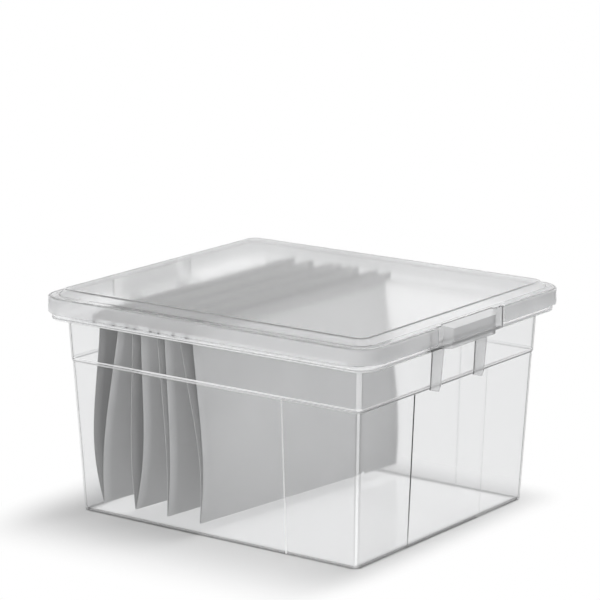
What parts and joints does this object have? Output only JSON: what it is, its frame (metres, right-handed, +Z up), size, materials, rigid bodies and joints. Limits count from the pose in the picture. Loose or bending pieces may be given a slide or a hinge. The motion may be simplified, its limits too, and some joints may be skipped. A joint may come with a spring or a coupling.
{
  "type": "portable file box",
  "caption": "Portable file box: see-through tub with end grips, frosted lift-off lid and hanging folders on steel rods that slide along moulded rails.",
  "frame": {"origin": "middle of the tub's flat base, on the surface it stands on", "axes": "+X along the long side from the left end grip to the right one, +Y from the front to the back, +Z up"},
  "size_m": [0.5006, 0.433, 0.281],
  "materials": {
    "tub_plastic": "clear moulded polypropylene, smooth",
    "lid_plastic": "frosted translucent moulded plastic",
    "card": "matt grey folder card, standing in for paperboard",
    "steel": "plain flat steel strip",
    "coat": "thin dark plastic coat on the hooks"
  },
  "bodies": {
    "tub": {"tub": "tub_plastic"},
    "lid": {"lid": "lid_plastic"},
    "folder_1_left": {"folder_1_left_leaf": "card", "folder_1_left_rod": "steel", "folder_1_left_hooks": "coat"},
    "folder_1_right": {"folder_1_right_leaf": "card", "folder_1_right_rod": "steel", "folder_1_right_hooks": "coat"},
    "folder_2_left": {"folder_2_left_leaf": "card", "folder_2_left_rod": "steel", "folder_2_left_hooks": "coat"},
    "folder_2_right": {"folder_2_right_leaf": "card", "folder_2_right_rod": "steel", "folder_2_right_hooks": "coat"},
    "folder_3_left": {"folder_3_left_leaf": "card", "folder_3_left_rod": "steel", "folder_3_left_hooks": "coat"},
    "folder_3_right": {"folder_3_right_leaf": "card", "folder_3_right_rod": "steel", "folder_3_right_hooks": "coat"},
    "folder_4_left": {"folder_4_left_leaf": "card", "folder_4_left_rod": "steel", "folder_4_left_hooks": "coat"},
    "folder_4_right": {"folder_4_right_leaf": "card", "folder_4_right_rod": "steel", "folder_4_right_hooks": "coat"}
  },
  "joints": [
    {"name": "lid_lift", "type": "slide", "parent": "tub", "child": "lid", "axis": [0, 0, 1], "range_m": [0, 0.15]},
    {"name": "folder_1_slide", "type": "slide", "parent": "tub", "child": "folder_1_left", "axis": [1, 0, 0], "range_m": [-0.015, 0.004]},
    {"name": "folder_1_open", "type": "hinge", "parent": "folder_1_left", "child": "folder_1_right", "pos_m": [-0.145, 0, 0.0145], "axis": [0.0213, 0.9998, 0], "range_deg": [-4.4, 1.1]},
    {"name": "folder_2_slide", "type": "slide", "parent": "tub", "child": "folder_2_left", "axis": [1, 0, 0], "range_m": [-0.0025, 0.0025]},
    {"name": "folder_2_open", "type": "hinge", "parent": "folder_2_left", "child": "folder_2_right", "pos_m": [-0.096, 0, 0.0145], "axis": [0.0479, 0.9989, 0], "range_deg": [-1.8, 1.8]},
    {"name": "folder_3_slide", "type": "slide", "parent": "tub", "child": "folder_3_left", "axis": [1, 0, 0], "range_m": [-0.0025, 0.0025]},
    {"name": "folder_3_open", "type": "hinge", "parent": "folder_3_left", "child": "folder_3_right", "pos_m": [-0.064, 0, 0.0145], "axis": [0.0266, 0.9996, 0], "range_deg": [-1.5, 1.8]},
    {"name": "folder_4_slide", "type": "slide", "parent": "tub", "child": "folder_4_left", "axis": [1, 0, 0], "range_m": [-0.004, 0.15]},
    {"name": "folder_4_open", "type": "hinge", "parent": "folder_4_left", "child": "folder_4_right", "pos_m": [-0.004, 0, 0.0145], "axis": [0.0479, 0.9989, 0], "range_deg": [-1, 6.5]}
  ]
}
